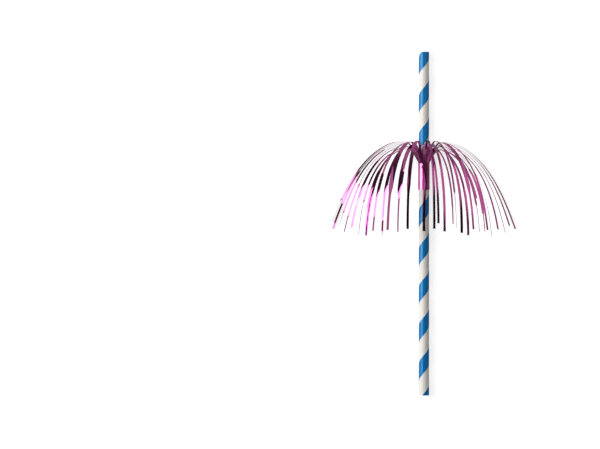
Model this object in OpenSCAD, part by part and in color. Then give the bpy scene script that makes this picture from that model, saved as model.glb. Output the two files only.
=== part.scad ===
// Paper drinking straw with a foil fringe burst, lying on a flat surface.
// The straw lies along Y with its drinking end at +Y, and the surface is Z = 0.
// One sheet of film is rolled round the straw as a band. Its slit side springs out as a burst of strands.
// The surface pushes the burst up, so its strands arch over the straw and fan out to both sides.

/* [Straw] */
// Length of the straw
straw_length = 197; // [150:1:260]
// Outer diameter of the paper
straw_diameter = 5.9; // [4:0.1:9]
// Thickness of the paper wall
wall = 0.4; // [0.25:0.05:0.8]

/* [Stripe] */
// Rise of the blue stripe in one turn round the straw
stripe_lead = 21.9; // [14:0.1:40]
// Height of the blue stripe along the straw
stripe_height = 10.3; // [4:0.1:12]
// From the lower end to the middle of the first stripe, on the upper side
stripe_start = 18.2; // [0:0.1:40]
// How far the blue layer stands above the white paper
stripe_layer = 0.02; // [0.01:0.01:0.05]

/* [Band] */
// Thickness of the film with its glue
film = 0.08; // [0.05:0.01:0.12]
// Turns of film round the straw
turns = 2.36; // [1.2:0.01:3]
// Where the outer end of the film lies, in degrees round the straw from its upper side
film_end = -29; // [-60:1:60]
// Length of the rolled band, the part of the film that isn't slit
band_length = 14.8; // [8:0.2:30]
// From the straw's upper end to the band's upper edge
band_from_top = 64.3; // [50:0.1:80]
// Gap between the stripe and the innermost turn
seat_gap = 0.04; // [0.02:0.01:0.1]

/* [Strands] */
// Length of a whole strand beyond the band
strand_length = 87; // [60:1:100]
// Width of a strand
strand_width = 1.4; // [1.2:0.05:2]
// Width of a strand at its root, where it still hugs the straw
root_width = 0.6; // [0.4:0.05:0.8]
// Gap that the knife leaves between two strands at the band
slit = 0.1; // [0.05:0.01:0.3]
// Length of the straight funnel before the outermost strands bend
funnel = 9; // [4:0.5:12]
// Angle of the funnel from the straw, in degrees
lean = 30; // [15:1:40]
// Turn of a strand at the side, from the funnel to its tip, in degrees
side_turn = 128; // [110:1:140]
// Extra turn of a strand that starts on top of the straw, where its weight folds it over, in degrees
droop = 24; // [10:1:50]
// How early along a strand its long bend comes
curl = 3; // [2:0.1:5]
// Part of the turn that a strand makes at once, where it leaves the funnel, in degrees
crest_turn = 40; // [0:1:60]
// Largest twist between a strand's root and its tip, in degrees
twist = 55; // [0:1:70]

/* [Hidden] */

straw_r = straw_diameter / 2;
bore_r = straw_r - wall;
straw_end = straw_length / 2;

// The stripe is swept in flat facets that stand clear of the round paper
stripe_step = 15;
stripe_r = (straw_r + stripe_layer) / cos(stripe_step / 2);
stripe_sink = 0.1;
end_margin = 0.02;

// The roll is a spiral, so each of its faces has one step where an end of the film lies
roll_step = 5;
roll_inner = stripe_r + seat_gap;
roll_outer = roll_inner + (turns + 1) * film;
roll_angle = turns * 360;
band_top = straw_end - band_from_top;

// The roll rests on the surface
axis_height = roll_outer;

// A strand is a thin ribbon that starts inside the wall of its own turn of film
strand_film = film * 0.5;
root_depth = 0.8;
root_rise = 0.3;
// Half a strand more than whole strands to a turn, so each turn's strands stand between those of the last
strands_per_turn = floor(2 * PI * (roll_inner + film) / (strand_width + slit)) + 0.5;
strand_step = 360 / strands_per_turn;
strand_rings = 16;
ring_crowding = 1.25;
rest_gap = 0.04;
short_strand = 27;
golden = 0.618034;

// The strands share the half round above the surface: one that starts under the straw's middle turns to
// this bearing. Its width turns later than its path, so it stays flat until it is clear of the straw.
flat_bearing = 92;
side_share = 0.8;
spread_length = 10;
flatten_start = 4;
flatten_length = 13;
// Length over which a strand makes its turn at the crest
crest_length = 10;
// How the fold of a strand fades from the top of the straw to its underside
fold_fade = 1.4;
// How far round the roll's underside a strand starts, in degrees, to count as the outermost of the nest
nest_span = 110;

// Shares of its length or of its funnel that a strand loses to its fold and to the turn it stands in
fold_loss = 0.1;
turn_loss = 0.07;
turn_funnel_loss = 0.25;
low_funnel_loss = 0.8;
low_loss = 0.2;
short_share = 0.7;
// Extra turn of the lower strands, in degrees, and how much later their long bend starts
low_turn = 15;
low_delay = 5;
// Unevenness in length, as a share, and in the turn of the upper strands, in degrees
uneven_length = 0.04;
uneven_turn = 2;
turn_more = 3;

function frac(x) = x - floor(x);
function ease(x) = x <= 0 ? 0 : x >= 1 ? 1 : x * x * (3 - 2 * x);
// A fixed scatter from -1 to 1, one value for each strand and use
function scatter(seed, use) = 2 * frac((seed + 1) * golden * (2 * use + 1)) - 1;

// Radius of the film's middle, and the bearing from the upper side, at an angle along the roll
function film_radius(along_roll) = roll_inner + film * (along_roll / 360 + 0.5);
function film_bearing(along_roll) =
    let (bearing = film_end + roll_angle - along_roll)
        bearing - 360 * ceil(bearing / 360 - 0.5);

// Stripe

function stripe_low(angle) = stripe_start - stripe_height / 2 + angle / 360 * stripe_lead;
function stripe_section(angle) = [
    for (corner = [[straw_r - stripe_sink, 0], [stripe_r, 0], [stripe_r, 1], [straw_r - stripe_sink, 1]])
        let (along = stripe_low(angle) + corner[1] * stripe_height)
            [
                corner[0] * sin(angle),
                max(end_margin, min(straw_length - end_margin, along)),
                corner[0] * cos(angle)
            ]
];

// Closed skin round a row of four-cornered sections. Its two broad sides are split along the same diagonal,
// so that they stay parallel where a thin ribbon twists.
module sweep(sections) {
    count = len(sections);
    polyhedron(
        [for (section = sections) each section],
        [
            [3, 2, 1, 0],
            for (ring = [0 : count - 2], side = [0 : 3])
                let (a = ring * 4 + side, b = ring * 4 + (side + 1) % 4)
                    each side < 2 ? [[a, b, b + 4], [a, b + 4, a + 4]] : [[a, b, a + 4], [b, b + 4, a + 4]],
            [for (side = [0 : 3]) (count - 1) * 4 + side]
        ],
        convexity = 10
    );
}

module stripe() {
    first = ceil((-stripe_start - stripe_height / 2) / stripe_lead * 360 / stripe_step + 0.3);
    last = floor((straw_length - stripe_start + stripe_height / 2) / stripe_lead * 360 / stripe_step - 0.3);
    sweep([for (k = [first : last]) stripe_section(k * stripe_step)]);
}

module paper_tube() {
    translate([0, -straw_end, axis_height]) {
        color("white")
        rotate([-90, 0, 0])
        difference() {
            cylinder(h = straw_length, r = straw_r, $fn = 96);
            translate([0, 0, -1]) cylinder(h = straw_length + 2, r = bore_r, $fn = 96);
        }
        color("dodgerblue") stripe();
    }
}

// Foil

function roll_outline(from_angle, skin) = [
    for (along_roll = [from_angle : roll_step : from_angle + 360])
        let (bearing = film_bearing(along_roll), radius = film_radius(along_roll) + skin * film / 2)
            radius * [sin(bearing), -cos(bearing)]
];

module rolled_band() {
    translate([0, band_top - band_length, axis_height])
    rotate([-90, 0, 0])
    linear_extrude(band_length)
    difference() {
        polygon(roll_outline(roll_angle - 360, 1));
        polygon(roll_outline(0, -1));
    }
}

// Angle between a strand and the straw's direction, s along the strand
function bend(share) = (1 - exp(-curl * max(0, share))) / (1 - exp(-curl));
function heading(s, straight, total, delay) =
    lean + crest_turn * ease((s - straight) / crest_length)
    + (total - crest_turn) * bend((s - straight - delay) / (strand_length - straight - delay));

// Direction round the straw in which a strand runs: 0 is up, and 90 is sideways
function bearing(s, root, length) =
    let (final = sign(root) * flat_bearing * pow(abs(root) / 180, side_share))
        root + (final - root) * ease(s / length);

function strand_sections(root, radius, straight, reach, total, delay, roll) =
    let (
        stations = [for (k = [0 : strand_rings]) reach * pow(k / strand_rings, ring_crowding)],
        route = [
            for (
                k = 0, p = [radius * sin(root), band_top + root_rise, radius * cos(root)];
                k <= strand_rings;
                p = p + (k < strand_rings
                    ? let (
                        s = (stations[k] + stations[k + 1]) / 2,
                        step = stations[k + 1] - stations[k],
                        angle = heading(s, straight, total, delay),
                        way = bearing(s, root, spread_length)
                    ) step * [sin(angle) * sin(way), cos(angle), sin(angle) * cos(way)]
                    : [0, 0, 0]),
                k = k + 1
            ) p
        ],
        start = [radius * sin(root), band_top - root_depth, radius * cos(root)]
    )
    concat(
        [ribbon_section(start, root_width, 0, root, root)],
        [for (k = [0 : strand_rings])
            let (s = stations[k])
                ribbon_section(
                    route[k],
                    ribbon_width(s),
                    heading(s, straight, total, delay) * (k > 0 ? 1 : 0.5),
                    bearing(s - flatten_start, root, flatten_length) + roll * ease(s / reach),
                    bearing(s, root, spread_length)
                )]
    );

function ribbon_width(s) = root_width + (strand_width - root_width) * min(1, s / funnel);

// Four corners of the ribbon: its width lies across the bearing, and its film across the heading
function ribbon_section(p, width, angle, face, way) =
    let (
        across = [cos(face), 0, -sin(face)],
        along = [sin(angle) * sin(way), cos(angle), sin(angle) * cos(way)],
        through = cross(across, along),
        side = across * width / 2,
        skin = through / norm(through) * strand_film / 2,
        lift = max(0, rest_gap + abs(side[2]) + abs(skin[2]) - axis_height - p[2])
    )
    [for (corner = [[-1, -1], [1, -1], [1, 1], [-1, 1]])
        p + corner[0] * side + corner[1] * skin + [0, 0, axis_height + lift]];

module strand(along_roll, seed) {
    root = film_bearing(along_roll);
    radius = film_radius(along_roll);
    turn = floor(along_roll / 360);
    // Under the straw the strands lie nested, the one that starts nearest the middle reaching furthest
    low = abs(root) > 90;
    nest = asin(radius * sin(abs(root)) / roll_outer) / nest_span;
    fold = pow(cos(root / 2), fold_fade);
    straight = funnel * (1 - (low ? low_funnel_loss * nest : turn_funnel_loss * turn));
    delay = low ? low_delay * (1 - nest) : 0;
    loss = low ? low_loss * nest : turn_loss * turn;
    uneven = (1 + uneven_length * scatter(seed, 6)) * (seed == short_strand ? short_share : 1);
    reach = strand_length * (1 - fold_loss * fold) * (1 - loss) * uneven;
    more = low ? low_turn * nest : uneven_turn * scatter(seed, 9) + turn_more * turn;
    total = side_turn + droop * fold + more;
    roll = twist * scatter(seed, 3);
    sweep(strand_sections(root, radius, straight, reach, total, delay, roll));
}

module foil_fringe() {
    color("mediumvioletred") {
        rolled_band();
        for (seed = [0 : floor(roll_angle / strand_step) - 1])
            strand((seed + 0.5) * strand_step, seed);
    }
}

paper_tube();
foil_fringe();
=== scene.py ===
import math
import bpy
import numpy as np
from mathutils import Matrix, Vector


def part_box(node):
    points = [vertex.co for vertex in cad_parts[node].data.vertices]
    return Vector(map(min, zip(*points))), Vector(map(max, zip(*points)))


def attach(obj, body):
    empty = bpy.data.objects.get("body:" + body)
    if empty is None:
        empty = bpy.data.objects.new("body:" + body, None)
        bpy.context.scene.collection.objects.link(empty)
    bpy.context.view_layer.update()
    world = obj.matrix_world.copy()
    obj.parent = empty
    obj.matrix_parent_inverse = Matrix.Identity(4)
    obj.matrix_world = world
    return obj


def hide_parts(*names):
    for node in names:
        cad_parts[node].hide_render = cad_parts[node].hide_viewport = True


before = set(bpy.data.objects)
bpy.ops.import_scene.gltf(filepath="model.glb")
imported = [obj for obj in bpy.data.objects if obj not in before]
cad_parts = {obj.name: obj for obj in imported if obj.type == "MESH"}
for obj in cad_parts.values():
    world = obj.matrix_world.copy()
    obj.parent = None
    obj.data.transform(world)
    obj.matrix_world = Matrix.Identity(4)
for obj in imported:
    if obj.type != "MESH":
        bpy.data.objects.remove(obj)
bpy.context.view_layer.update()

# A striped paper drinking straw with a slit film rolled round it, lying on a pale floor.
# Lengths are in millimetres until a mesh, lamp or camera is made of them, and angles are in degrees. Inside
# the materials, noise scales are per metre and bump distances are in metres.
MM = 0.001

# Photograph's frame and the straw's place in it, in pixels
IMAGE_WIDTH = 600
IMAGE_HEIGHT = 449
STRAW_PX_X = 423.9
STRAW_PX_TOP = 51.8
STRAW_PX_BOTTOM = 395.3
CAMERA_HEIGHT = 2000
CAMERA_REACH = 20000
SENSOR_WIDTH = 36

# Straw, its length and place from the frame
tube_low, tube_high = (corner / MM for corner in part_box("paper_tube"))
STRAW_LENGTH = tube_high.y - tube_low.y
AXIS_HEIGHT = (tube_high.z + tube_low.z) / 2
STRAW_RADIUS = 2.95
WALL = 0.4

# Stripe: rise in one turn, height of the blue, and from the lower end to the middle of the first blue on
# the upper side. The film clears a layer of this thickness in facets of this angle.
STRIPE_LEAD = 21.9
STRIPE_HEIGHT = 10.3
STRIPE_START = 18.2
STRIPE_LAYER = 0.02
STRIPE_FACET = 15

# Skin of the straw: how far the blue strip stands out, the angle of its edge, and the rim of a cut end
PRINT_RISE = 0.03
PRINT_EDGE = 0.6
RIM = 0.05
# Fineness of the straw: degrees round it, millimetres along it, and spans along its bore
COLUMN_STEP = 5
RING_STEP = 0.5
BORE_SPANS = 12

# Cut ends: number of plies, where a ply starts and ends its step, as shares of the wall, and the step's depth
PLIES = 3
PLY_STEP_START = 0.06
PLY_STEP_END = 0.03
PLY_STEP_DEPTH = 0.05

# Rolled film, the same roll as in the frame. A turn takes up FILM with its glue, and the film itself is
# drawn FILM_SKIN thick.
FILM = 0.08
FILM_SKIN = 0.05
TURNS = 2.36
FILM_END = -29
BAND_LENGTH = 14.8
BAND_FROM_TOP = 64.3
SEAT_GAP = 0.04
BAND_TOP = tube_high.y - BAND_FROM_TOP
ROLL_INNER = (STRAW_RADIUS + STRIPE_LAYER) / math.cos(math.radians(STRIPE_FACET / 2)) + SEAT_GAP
ROLL_OUTER = ROLL_INNER + (TURNS + 1) * FILM
ROLL_ANGLE = TURNS * 360

# Strands: length and width, gap between two, straight part, and turns on the way to the tip
STRAND_LENGTH = 87
STRAND_WIDTH = 1.4
SLIT = 0.1
FUNNEL = 9
LEAN = 30
SIDE_TURN = 128
DROOP = 24
CURL = 3
CREST_TURN = 40
CREST_LENGTH = 10
TWIST = 55
STRANDS_PER_TURN = math.floor(2 * math.pi * (ROLL_INNER + FILM) / (STRAND_WIDTH + SLIT)) + 0.5
STRAND_STEP = 360 / STRANDS_PER_TURN

# The floor pushes the burst up, so its strands share the half round above it
FLAT_BEARING = 92
SIDE_SHARE = 0.8
SPREAD_LENGTH = 10
FLATTEN_START = 4
FLATTEN_LENGTH = 13
FOLD_FADE = 1.4
NEST_SPAN = 110
REST_GAP = 0.04

# What a strand loses in length or funnel, or gains in turn, by its place. On top of the straw the funnel
# gains up to TOP_FUNNEL.
FOLD_LOSS = 0.1
TURN_LOSS = 0.07
TURN_FUNNEL_LOSS = 0.25
LOW_FUNNEL_LOSS = 0.8
LOW_LOSS = 0.2
LOW_TURN = 15
LOW_DELAY = 5
SHORT_STRAND = 27
SHORT_SHARE = 0.7
TOP_FUNNEL = 2
UNEVEN_LENGTH = 0.04
UNEVEN_TURN = 2
TURN_MORE = 3

# Length over which a strand leaves the roll and leans out
LEAN_START = 1.5

# Kinks: where the film was creased, a strand's tilt falls at once, and grows again further on. Places are
# shares of the strand's length.
KINK_TILT = 27
KINK_TILT_SPREAD = 0.45
KINK_LENGTH = 1.6
FIRST_KINK = 0.45
FIRST_KINK_SPREAD = 0.2
SECOND_KINK = 0.82
SECOND_KINK_SPREAD = 0.1
KINK_RETURN = 0.8
KINK_RETURN_SPREAD = 0.4
# On the right the outermost strands keep their edge up, with no kink
UNKINKED_FROM = 110

# Where the knife strayed, a strand is wider by this share along its middle, from WIDE_FROM to the share
# WIDE_TO of its length
WIDE_STRANDS = {1: 0.7, 5: 0.8, 18: 0.7, 4: 0.5, 19: 0.5, 6: 0.2}
WIDE_FROM = 12
WIDE_RISE = 10
WIDE_TO = 0.75
WIDE_FALL = 6
# Unevenness of all widths, as a share
WIDTH_SPREAD = 0.15
# Strands that lean sideways, by these angles at the crest and at the tip, as one does across the straw. The
# second sets in at this share of the strand's length.
SWAYED_STRANDS = {17: (6, -12), 30: (5, 7), 6: (4, 4)}
TIP_SWAY_FROM = 0.45
# Strands that lie flatter or steeper than their place gives, by these angles
TILTED_STRANDS = {1: -28, 17: -25, 3: 12, 30: 22}

# A strand is cambered as the roll is, and loses half of that where it is free
CAMBER_LOSS = 0.5
CAMBER_LENGTH = 6
# Rings along a strand, how they crowd at its root, and points across it as shares of half its width
STRAND_RINGS = 110
RING_CROWDING = 1.15
STRAND_COLUMNS = (-1, -0.5, 0, 0.5, 1)

# Each use of the scatter has its own number
GOLDEN = 0.618034
BY_TWIST = 3
BY_LENGTH = 6
BY_TURN = 9
BY_SECOND_KINK = 13
BY_KINK_TILT = 15
BY_KINK_RETURN = 17
BY_WIDTH = 19
BY_FIRST_KINK = 39

# Band: the strip where the roll is pressed flat, and the loose corner that curls off it
PRESSED_FACING = -31
PRESSED_FROM = -49
PRESSED_TO = -19
PRESSED_FADE = 8
CORNER_HEIGHT = 3
CORNER_REACH = 1.7
CORNER_RADIUS = 0.5
# Soft creases, as waves: height, count in one turn, degrees in each millimetre along the straw, and shift
CREASES = ((0.02, 7, 3, 0), (0.01, 13, -5, 40), (0.005, 23, 4, 110))
BAND_COLUMN_STEP = 4
BAND_ROWS = 36

# Floor: half its side, its tone, and the light that only the camera sees of it
FLOOR_REACH = 1600
FLOOR_TONES = (0.57, 0.61)
FLOOR_GLOW = 0.76

# Studio that the film reflects: tone by height, and strength from its left to its right
STUDIO_TONES = ((0, 0.75), (0.25, 0.36), (0.6, 0.2), (0.85, 0.05))
STUDIO_SPAN = 0.7
STUDIO_LEFT = 0.15
STUDIO_RIGHT = 0.65


def sin(angle):
    return math.sin(math.radians(angle))


def cos(angle):
    return math.cos(math.radians(angle))


def ease(x):
    """Smooth step from 0 to 1."""
    x = min(1, max(0, x))
    return x * x * (3 - 2 * x)


def scatter(seed, use):
    """A fixed scatter from -1 to 1, one value for each strand and use."""
    return 2 * ((seed + 1) * GOLDEN * (2 * use + 1) % 1) - 1


def grey(tone):
    return (tone, tone, tone)


def new_mesh(name, points, faces, slots=None, materials=(), sharp=35):
    """A smooth piece, sharp where its faces meet at more than an angle."""
    mesh = bpy.data.meshes.new(name)
    mesh.from_pydata([tuple(float(c) * MM for c in point) for point in points], [], faces)
    for material in materials:
        mesh.materials.append(material)
    if slots is not None:
        mesh.polygons.foreach_set("material_index", slots)
    mesh.shade_smooth()
    mesh.set_sharp_from_angle(angle=math.radians(sharp))
    mesh.validate()
    piece = bpy.data.objects.new(name, mesh)
    bpy.context.scene.collection.objects.link(piece)
    return piece


# Materials

def new_material(name):
    material = bpy.data.materials.new(name)
    material.use_nodes = True
    nodes = material.node_tree.nodes
    return material, nodes, material.node_tree.links, nodes["Principled BSDF"]


def add_noise(nodes, links, coords, scale, detail, roughness=0.55, stretch=None):
    noise = nodes.new("ShaderNodeTexNoise")
    noise.inputs["Scale"].default_value = scale
    noise.inputs["Detail"].default_value = detail
    noise.inputs["Roughness"].default_value = roughness
    if stretch is not None:
        mapping = nodes.new("ShaderNodeMapping")
        mapping.inputs["Scale"].default_value = stretch
        links.new(coords, mapping.inputs["Vector"])
        coords = mapping.outputs["Vector"]
    links.new(coords, noise.inputs["Vector"])
    return noise.outputs["Fac"]


def add_ramp(nodes, links, value, stops):
    ramp = nodes.new("ShaderNodeValToRGB")
    elements = ramp.color_ramp.elements
    while len(elements) < len(stops):
        elements.new(0.5)
    for element, (place, color) in zip(elements, stops):
        element.position = place
        element.color = (*color, 1)
    links.new(value, ramp.inputs["Fac"])
    return ramp.outputs["Color"]


def add_range(nodes, links, value, low, high, start=0, end=1):
    """Maps the value from start and end to low and high."""
    span = nodes.new("ShaderNodeMapRange")
    span.inputs["From Min"].default_value = start
    span.inputs["From Max"].default_value = end
    span.inputs["To Min"].default_value = low
    span.inputs["To Max"].default_value = high
    links.new(value, span.inputs["Value"])
    return span.outputs["Result"]


def add_bump(nodes, links, height, strength, distance, normal=None):
    """Bump, whose distance is in metres."""
    bump = nodes.new("ShaderNodeBump")
    bump.inputs["Strength"].default_value = strength
    bump.inputs["Distance"].default_value = distance
    links.new(height, bump.inputs["Height"])
    if normal is not None:
        links.new(normal, bump.inputs["Normal"])
    return bump.outputs["Normal"]


def paper_material(name, dark, light, roughness, gloss, gloss_tint):
    """Calendered paper: faint mottling in its colour, and a bump of short fibres."""
    material, nodes, links, shader = new_material(name)
    coords = nodes.new("ShaderNodeTexCoord").outputs["Object"]
    mottle = add_noise(nodes, links, coords, scale=900, detail=5)
    links.new(add_ramp(nodes, links, mottle, [(0.35, dark), (0.65, light)]), shader.inputs["Base Color"])
    fibres = add_noise(nodes, links, coords, scale=2600, detail=6, roughness=0.65, stretch=(1, 0.45, 1))
    grain = add_noise(nodes, links, coords, scale=9000, detail=3)
    normal = add_bump(nodes, links, fibres, strength=0.35, distance=0.00006)
    normal = add_bump(nodes, links, grain, strength=0.2, distance=0.00002, normal=normal)
    links.new(normal, shader.inputs["Normal"])
    shader.inputs["Roughness"].default_value = roughness
    shader.inputs["Specular IOR Level"].default_value = gloss
    shader.inputs["Specular Tint"].default_value = (*gloss_tint, 1)
    return material


def white_paper():
    return paper_material(
        "white_paper",
        dark=(0.82, 0.79, 0.73),
        light=(0.88, 0.85, 0.79),
        roughness=0.5,
        gloss=0.4,
        gloss_tint=(1, 1, 1),
    )


def blue_print():
    return paper_material(
        "blue_print",
        dark=(0.0005, 0.165, 0.46),
        light=(0.001, 0.195, 0.54),
        roughness=0.16,
        gloss=0.42,
        gloss_tint=(0.7, 1, 1),
    )


def magenta_film():
    """Metallised film: a coloured mirror with soft creases and a clear, glossy face."""
    material, nodes, links, shader = new_material("magenta_film")
    coords = nodes.new("ShaderNodeTexCoord").outputs["Object"]
    tone = add_noise(nodes, links, coords, scale=260, detail=3)
    tints = [(0.3, (0.44, 0.038, 0.25)), (0.7, (0.56, 0.056, 0.32))]
    links.new(add_ramp(nodes, links, tone, tints), shader.inputs["Base Color"])
    haze = add_noise(nodes, links, coords, scale=700, detail=2)
    links.new(add_range(nodes, links, haze, low=0.05, high=0.11), shader.inputs["Roughness"])
    creases = add_noise(nodes, links, coords, scale=420, detail=3)
    links.new(add_bump(nodes, links, creases, strength=0.16, distance=0.00012), shader.inputs["Normal"])
    shader.inputs["Metallic"].default_value = 1
    shader.inputs["Specular Tint"].default_value = (0.9, 0.35, 0.7, 1)
    shader.inputs["Coat Weight"].default_value = 1
    shader.inputs["Coat IOR"].default_value = 1.7
    shader.inputs["Coat Roughness"].default_value = 0.05
    return material


# Straw

def turn_at(y):
    """Angle round the straw of the stripe's middle, at a place along it."""
    return (y + STRAW_LENGTH / 2 - STRIPE_START) / STRIPE_LEAD * 360


class Tube:
    """Skin of wound paper. Its lines of faces follow the winding, so stripe and ply edges are clean."""

    def __init__(self):
        half = STRIPE_HEIGHT / STRIPE_LEAD * 180
        blue = np.linspace(-half, half, round(2 * half / COLUMN_STEP) + 1)
        white = np.linspace(half + PRINT_EDGE, 360 - half, round((360 - 2 * half) / COLUMN_STEP) + 1)
        self.columns = [*blue, *white[:-1]]
        self.blue_columns = len(blue)
        self.points = []
        self.faces = []
        self.slots = []

    def ring(self, y, shift, radius, rise=0):
        """Points round the straw at y, turned by the shift, with the blue ones standing out by the rise."""
        start = len(self.points)
        for i, angle in enumerate(self.columns):
            turn = shift - angle
            out = radius + (rise if i < self.blue_columns else 0)
            self.points.append((out * sin(turn), y, AXIS_HEIGHT + out * cos(turn)))
        return start

    def bridge(self, a, b, striped=False):
        """Faces between two rings, in the second material where they are blue."""
        count = len(self.columns)
        for i in range(count):
            j = (i + 1) % count
            self.faces.append((a + i, a + j, b + j, b + i))
            self.slots.append(1 if striped and i < self.blue_columns - 1 else 0)

    def cut_end(self, y, outer_ring, inward):
        """A cut end, from the outer skin to the innermost ply, with each ply as a fine step."""
        stations = [(STRAW_RADIUS - RIM, 0)]
        for ply in range(PLIES):
            inner = (ply + 1) / PLIES
            stations.append((STRAW_RADIUS - WALL * (inner - PLY_STEP_START), 0))
            stations.append((STRAW_RADIUS - WALL * (inner - PLY_STEP_END), PLY_STEP_DEPTH))
        previous = outer_ring
        for radius, depth in stations:
            here = self.ring(y + inward * depth, turn_at(y), radius)
            if inward < 0:
                self.bridge(previous, here)
            else:
                self.bridge(here, previous)
            previous = here
        return previous


def make_straw():
    tube = Tube()
    low, high = -STRAW_LENGTH / 2, STRAW_LENGTH / 2
    skin = [
        tube.ring(y, turn_at(y), STRAW_RADIUS, PRINT_RISE)
        for y in np.linspace(low + RIM, high - RIM, round(STRAW_LENGTH / RING_STEP) + 1)
    ]
    for a, b in zip(skin, skin[1:]):
        tube.bridge(a, b, striped=True)
    first = tube.cut_end(low, skin[0], 1)
    last = tube.cut_end(high, skin[-1], -1)
    # The bore's last span takes up the turn between the two ends
    *bore_ys, bore_end = np.linspace(low + 2 * RIM, high - 2 * RIM, BORE_SPANS + 1)
    bore = [tube.ring(y, turn_at(low), STRAW_RADIUS - WALL) for y in bore_ys]
    bore.append(tube.ring(bore_end, turn_at(high), STRAW_RADIUS - WALL))
    tube.bridge(bore[0], first)
    tube.bridge(last, bore[-1])
    for a, b in zip(bore, bore[1:]):
        tube.bridge(b, a)
    return new_mesh("straw", tube.points, tube.faces, tube.slots, [white_paper(), blue_print()], sharp=25)


# Rolled film

def film_radius(along_roll):
    """Radius of the film's middle, at an angle along the roll."""
    return ROLL_INNER + FILM * (along_roll / 360 + 0.5)


def film_bearing(along_roll):
    """Angle round the straw from its upper side, towards +X, at an angle along the roll."""
    bearing = FILM_END + ROLL_ANGLE - along_roll
    return bearing - 360 * math.ceil(bearing / 360 - 0.5)


def pressed(bearing):
    """How far the pressed strip stands off the round roll."""
    inside = min(PRESSED_TO, max(PRESSED_FROM, bearing))
    flat = ROLL_OUTER * (1 / cos(inside - PRESSED_FACING) - 1)
    return flat * (1 - ease(abs(bearing - inside) / PRESSED_FADE))


def creased(bearing, y):
    """Height of the soft creases."""
    return sum(height * sin(count * bearing + slant * y + shift) for height, count, slant, shift in CREASES)


def band_point(along_roll, y, side):
    """A point of the roll, on the outer side of the film or with -1 on its inner side."""
    curled = CORNER_REACH * ease((y - BAND_TOP + CORNER_HEIGHT) / CORNER_HEIGHT)
    hinge = ROLL_ANGLE - math.degrees(curled / ROLL_OUTER)
    bearing = film_bearing(min(along_roll, hinge))
    radius = film_radius(along_roll) + creased(bearing, y) * min(1, along_roll / 360) + pressed(bearing)
    # Past its hinge the corner leaves the roll and curls round a small circle
    turned = max(0, along_roll - hinge) * ROLL_OUTER / CORNER_RADIUS
    skin = side * FILM_SKIN / 2
    out = radius + CORNER_RADIUS * (1 - cos(turned)) + skin * cos(turned)
    back = (CORNER_RADIUS - skin) * sin(turned)
    x = out * sin(bearing) - back * cos(bearing)
    z = out * cos(bearing) + back * sin(bearing)
    return x, y, AXIS_HEIGHT + z


def sheet_faces(columns, rows):
    """Faces of a sheet that starts at point 0: its outer side, its inner side and the rim between them."""
    row = columns + 1
    sheet = row * (rows + 1)
    faces = []
    for j in range(rows):
        for i in range(columns):
            a = j * row + i
            faces.append((a, a + 1, a + 1 + row, a + row))
            faces.append((a + sheet + row, a + sheet + 1 + row, a + sheet + 1, a + sheet))
    for i in range(columns):
        a = i
        faces.append((a + sheet, a + sheet + 1, a + 1, a))
        a = rows * row + i
        faces.append((a, a + 1, a + sheet + 1, a + sheet))
    for j in range(rows):
        a = j * row
        faces.append((a, a + row, a + sheet + row, a + sheet))
        a = j * row + columns
        faces.append((a + sheet, a + sheet + row, a + row, a))
    return faces


def make_band():
    """Points and faces of the spiral sheet."""
    columns = round(ROLL_ANGLE / BAND_COLUMN_STEP)
    points = [
        band_point(ROLL_ANGLE * i / columns, BAND_TOP - BAND_LENGTH + BAND_LENGTH * j / BAND_ROWS, side)
        for side in (1, -1)
        for j in range(BAND_ROWS + 1)
        for i in range(columns + 1)
    ]
    return points, sheet_faces(columns, BAND_ROWS)


# Strands

def bend(share):
    """Share of the long bend that is made at a share of the strand."""
    return (1 - math.exp(-CURL * max(0, share))) / (1 - math.exp(-CURL))


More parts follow.
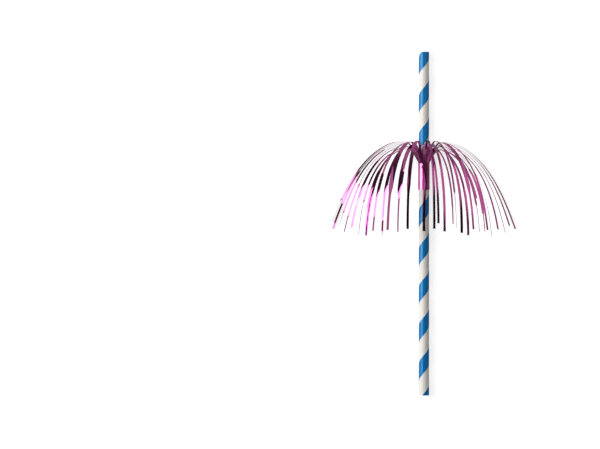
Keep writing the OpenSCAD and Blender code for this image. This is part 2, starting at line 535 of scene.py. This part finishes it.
class Strand:
    """One strand: its place in the roll, the values of its curl, and its skin."""

    def __init__(self, seed):
        along_roll = (seed + 0.5) * STRAND_STEP
        turn = math.floor(along_roll / 360)
        self.seed = seed
        self.root = film_bearing(along_roll)
        self.radius = film_radius(along_roll)
        fold = cos(self.root / 2) ** FOLD_FADE
        if abs(self.root) > 90:
            # Under the straw the strands lie nested, the one nearest the middle reaching furthest
            nest = math.degrees(math.asin(self.radius * sin(abs(self.root)) / ROLL_OUTER)) / NEST_SPAN
            self.straight = FUNNEL * (1 - LOW_FUNNEL_LOSS * nest)
            self.delay = LOW_DELAY * (1 - nest)
            length = STRAND_LENGTH * (1 - LOW_LOSS * nest)
            extra = 0
            more = LOW_TURN * nest
        else:
            extra = TOP_FUNNEL * cos(self.root) ** 2
            self.straight = FUNNEL * (1 - TURN_FUNNEL_LOSS * turn) + extra
            self.delay = 0
            length = STRAND_LENGTH * (1 - TURN_LOSS * turn)
            more = UNEVEN_TURN * scatter(seed, BY_TURN) + TURN_MORE * turn
        length *= (1 - FOLD_LOSS * fold) * (1 + UNEVEN_LENGTH * scatter(seed, BY_LENGTH))
        if seed == SHORT_STRAND:
            length *= SHORT_SHARE
        self.reach = length + extra
        self.total = SIDE_TURN + DROOP * fold + more
        self.twist = TWIST * scatter(seed, BY_TWIST)
        self.kinks = self.find_kinks()

    def find_kinks(self):
        """Places of the two kinks, each with the share of its tilt that the strand has from there on."""
        first = (FIRST_KINK + FIRST_KINK_SPREAD * scatter(self.seed, BY_FIRST_KINK)) * self.reach
        second = (SECOND_KINK + SECOND_KINK_SPREAD * scatter(self.seed, BY_SECOND_KINK)) * self.reach
        kept_tilt = KINK_TILT * (1 + KINK_TILT_SPREAD * scatter(self.seed, BY_KINK_TILT))
        kept = 1 if self.root > UNKINKED_FROM else min(1, kept_tilt / abs(self.tilt(first)))
        regained = KINK_RETURN + KINK_RETURN_SPREAD * scatter(self.seed, BY_KINK_RETURN)
        return (first, kept), (second, kept + (1 - kept) * regained)

    def heading(self, s):
        """Angle between the strand and the straw's direction, s along the strand."""
        crest = CREST_TURN * ease((s - self.straight) / CREST_LENGTH)
        start = self.straight + self.delay
        long_bend = (self.total - CREST_TURN) * bend((s - start) / (STRAND_LENGTH - start))
        return (LEAN + crest + long_bend) * ease(s / LEAN_START)

    def bearing(self, s, length):
        """Direction round the straw, 0 up and 90 sideways, that the strand turns to over a length."""
        final = math.copysign(FLAT_BEARING * (abs(self.root) / 180) ** SIDE_SHARE, self.root)
        crest_sway, tip_sway = SWAYED_STRANDS.get(self.seed, (0, 0))
        spread = ease(s / length)
        swayed = ease((s / self.reach - TIP_SWAY_FROM) / (1 - TIP_SWAY_FROM))
        return self.root + (final - self.root + crest_sway) * spread + (tip_sway - crest_sway) * swayed

    def way(self, s):
        """Unit step along the strand."""
        angle = self.heading(s)
        bearing = self.bearing(s, SPREAD_LENGTH)
        return np.array([sin(angle) * sin(bearing), cos(angle), sin(angle) * cos(bearing)])

    def tilt(self, s):
        """Angle of the strand's width round the straw, with its slow twist."""
        laid = TILTED_STRANDS.get(self.seed, 0) * ease((s - FLATTEN_START) / FLATTEN_LENGTH)
        return self.bearing(s - FLATTEN_START, FLATTEN_LENGTH) + self.twist * ease(s / self.reach) + laid

    def kinked_tilt(self, s):
        """The tilt that is left after the kinks."""
        share = 1
        for place, new_share in self.kinks:
            share += (new_share - share) * ease((s - place) / KINK_LENGTH)
        return self.tilt(s) * share

    def half_width(self, s):
        half = STRAND_WIDTH / 2 * (1 + WIDTH_SPREAD * scatter(self.seed, BY_WIDTH))
        middle = ease((s - WIDE_FROM) / WIDE_RISE) * ease((self.reach * WIDE_TO - s) / WIDE_FALL)
        return half * (1 + WIDE_STRANDS.get(self.seed, 0) * middle)

    def rings(self):
        """Rings of points from the root to the tip."""
        p = np.array([self.radius * sin(self.root), BAND_TOP, self.radius * cos(self.root)])
        s = 0
        result = []
        for k in range(STRAND_RINGS + 1):
            station = self.reach * (k / STRAND_RINGS) ** RING_CROWDING
            p = p + (station - s) * self.way((s + station) / 2)
            s = station
            result.append(self.ring(p, s))
        return result

    def ring(self, p, s):
        """Points round the strand at p, with a slight camber across its width, and clear of the floor."""
        tilt = self.kinked_tilt(s)
        across = np.array([cos(tilt), 0, -sin(tilt)])
        through = np.cross(across, self.way(s))
        through /= np.linalg.norm(through)
        half = self.half_width(s)
        camber = half ** 2 / 2 / self.radius * (1 - CAMBER_LOSS * ease(s / CAMBER_LENGTH))
        lift = max(0, REST_GAP + abs(across[2]) * half + FILM_SKIN - AXIS_HEIGHT - p[2])
        place = p + np.array([0, 0, AXIS_HEIGHT + lift])
        rim = [(u, 1) for u in STRAND_COLUMNS] + [(u, -1) for u in reversed(STRAND_COLUMNS)]
        return [
            place + across * u * half + through * (side * FILM_SKIN / 2 - camber * u * u)
            for u, side in rim
        ]


def sweep(rings, points, faces):
    """Adds a closed skin round a row of rings, whose first half is one side and whose second the other."""
    start = len(points)
    count = len(rings[0])
    for ring in rings:
        points.extend(ring)
    for k in range(len(rings) - 1):
        for i in range(count):
            a = start + k * count + i
            b = start + k * count + (i + 1) % count
            faces.append((a, b, b + count, a + count))
    last = start + (len(rings) - 1) * count
    for i in range(count // 2 - 1):
        cap = (i, count - 1 - i, count - 2 - i, i + 1)
        faces.append(tuple(start + corner for corner in cap))
        faces.append(tuple(last + corner for corner in reversed(cap)))


def make_film():
    points, faces = make_band()
    for seed in range(math.floor(ROLL_ANGLE / STRAND_STEP)):
        sweep(Strand(seed).rings(), points, faces)
    return new_mesh("slit_film", points, faces, materials=[magenta_film()], sharp=50)


# Floor, light and camera

def make_floor():
    """A pale floor that keeps the shadow, and that the camera sees brighter than the film does."""
    far = FLOOR_REACH
    corners = [(-far, -far, 0), (far, -far, 0), (far, far, 0), (-far, far, 0)]
    material, nodes, links, shader = new_material("pale_floor")
    coords = nodes.new("ShaderNodeTexCoord").outputs["Object"]
    mottle = add_noise(nodes, links, coords, scale=3, detail=2)
    tones = [(place, grey(tone)) for place, tone in enumerate(FLOOR_TONES)]
    links.new(add_ramp(nodes, links, mottle, tones), shader.inputs["Base Color"])
    shader.inputs["Roughness"].default_value = 0.9
    shader.inputs["Specular IOR Level"].default_value = 0.1
    seen = nodes.new("ShaderNodeLightPath").outputs["Is Camera Ray"]
    glow = nodes.new("ShaderNodeMath")
    glow.operation = "MULTIPLY"
    glow.inputs[1].default_value = FLOOR_GLOW
    links.new(seen, glow.inputs[0])
    shader.inputs["Emission Color"].default_value = (1, 1, 1, 1)
    links.new(glow.outputs[0], shader.inputs["Emission Strength"])
    floor = new_mesh("floor", corners, [(0, 1, 2, 3)], materials=[material])


def add_lamp(name, place, size, watts):
    """A white rectangular lamp that faces the middle of the straw."""
    lamp = bpy.data.lights.new(name, "AREA")
    lamp.shape = "RECTANGLE"
    lamp.size, lamp.size_y = (side * MM for side in size)
    lamp.energy = watts
    holder = bpy.data.objects.new(name, lamp)
    holder.location = Vector(place) * MM
    holder.rotation_euler = (-Vector(place)).to_track_quat("-Z", "Y").to_euler()
    bpy.context.scene.collection.objects.link(holder)


def make_lamps():
    """A soft key with a brighter core from the left, and a weak fill."""
    add_lamp("key", place=(-900, 250, 630), size=(800, 1300), watts=12.8)
    add_lamp("key_core", place=(-880, 240, 615), size=(800, 380), watts=2.8)
    add_lamp("fill", place=(560, 560, 760), size=(1100, 1100), watts=2.5)


def make_studio():
    """Surroundings that the film reflects, dark overhead and on the left."""
    world = bpy.data.worlds.new("studio")
    bpy.context.scene.world = world
    world.use_nodes = True
    nodes, links = world.node_tree.nodes, world.node_tree.links
    back = nodes["Background"]
    split = nodes.new("ShaderNodeSeparateXYZ")
    links.new(nodes.new("ShaderNodeTexCoord").outputs["Generated"], split.inputs["Vector"])
    height, side = split.outputs["Z"], split.outputs["X"]
    tones = [(place, grey(tone)) for place, tone in STUDIO_TONES]
    links.new(add_ramp(nodes, links, height, tones), back.inputs["Color"])
    strength = add_range(nodes, links, side, STUDIO_LEFT, STUDIO_RIGHT, -STUDIO_SPAN, STUDIO_SPAN)
    links.new(strength, back.inputs["Strength"])


def make_camera():
    """Looks straight down, and stands where the photograph's middle lies beside the straw."""
    mm_per_px = STRAW_LENGTH / (STRAW_PX_BOTTOM - STRAW_PX_TOP)
    x = -(STRAW_PX_X - IMAGE_WIDTH / 2) * mm_per_px
    y = ((STRAW_PX_TOP + STRAW_PX_BOTTOM) / 2 - IMAGE_HEIGHT / 2) * mm_per_px
    camera = bpy.data.cameras.new("camera")
    camera.sensor_width = SENSOR_WIDTH
    camera.lens = SENSOR_WIDTH * (CAMERA_HEIGHT - AXIS_HEIGHT) / (IMAGE_WIDTH * mm_per_px)
    camera.clip_end = CAMERA_REACH * MM
    holder = bpy.data.objects.new("camera", camera)
    holder.location = Vector((x, y, CAMERA_HEIGHT)) * MM
    bpy.context.scene.collection.objects.link(holder)
    bpy.context.scene.camera = holder


make_camera()
make_lamps()
make_studio()
make_floor()
straw = make_straw()
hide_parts("paper_tube")
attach(straw, "root")
film = make_film()
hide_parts("foil_fringe")
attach(film, "root")
bpy.context.scene.view_settings.view_transform = "Standard"
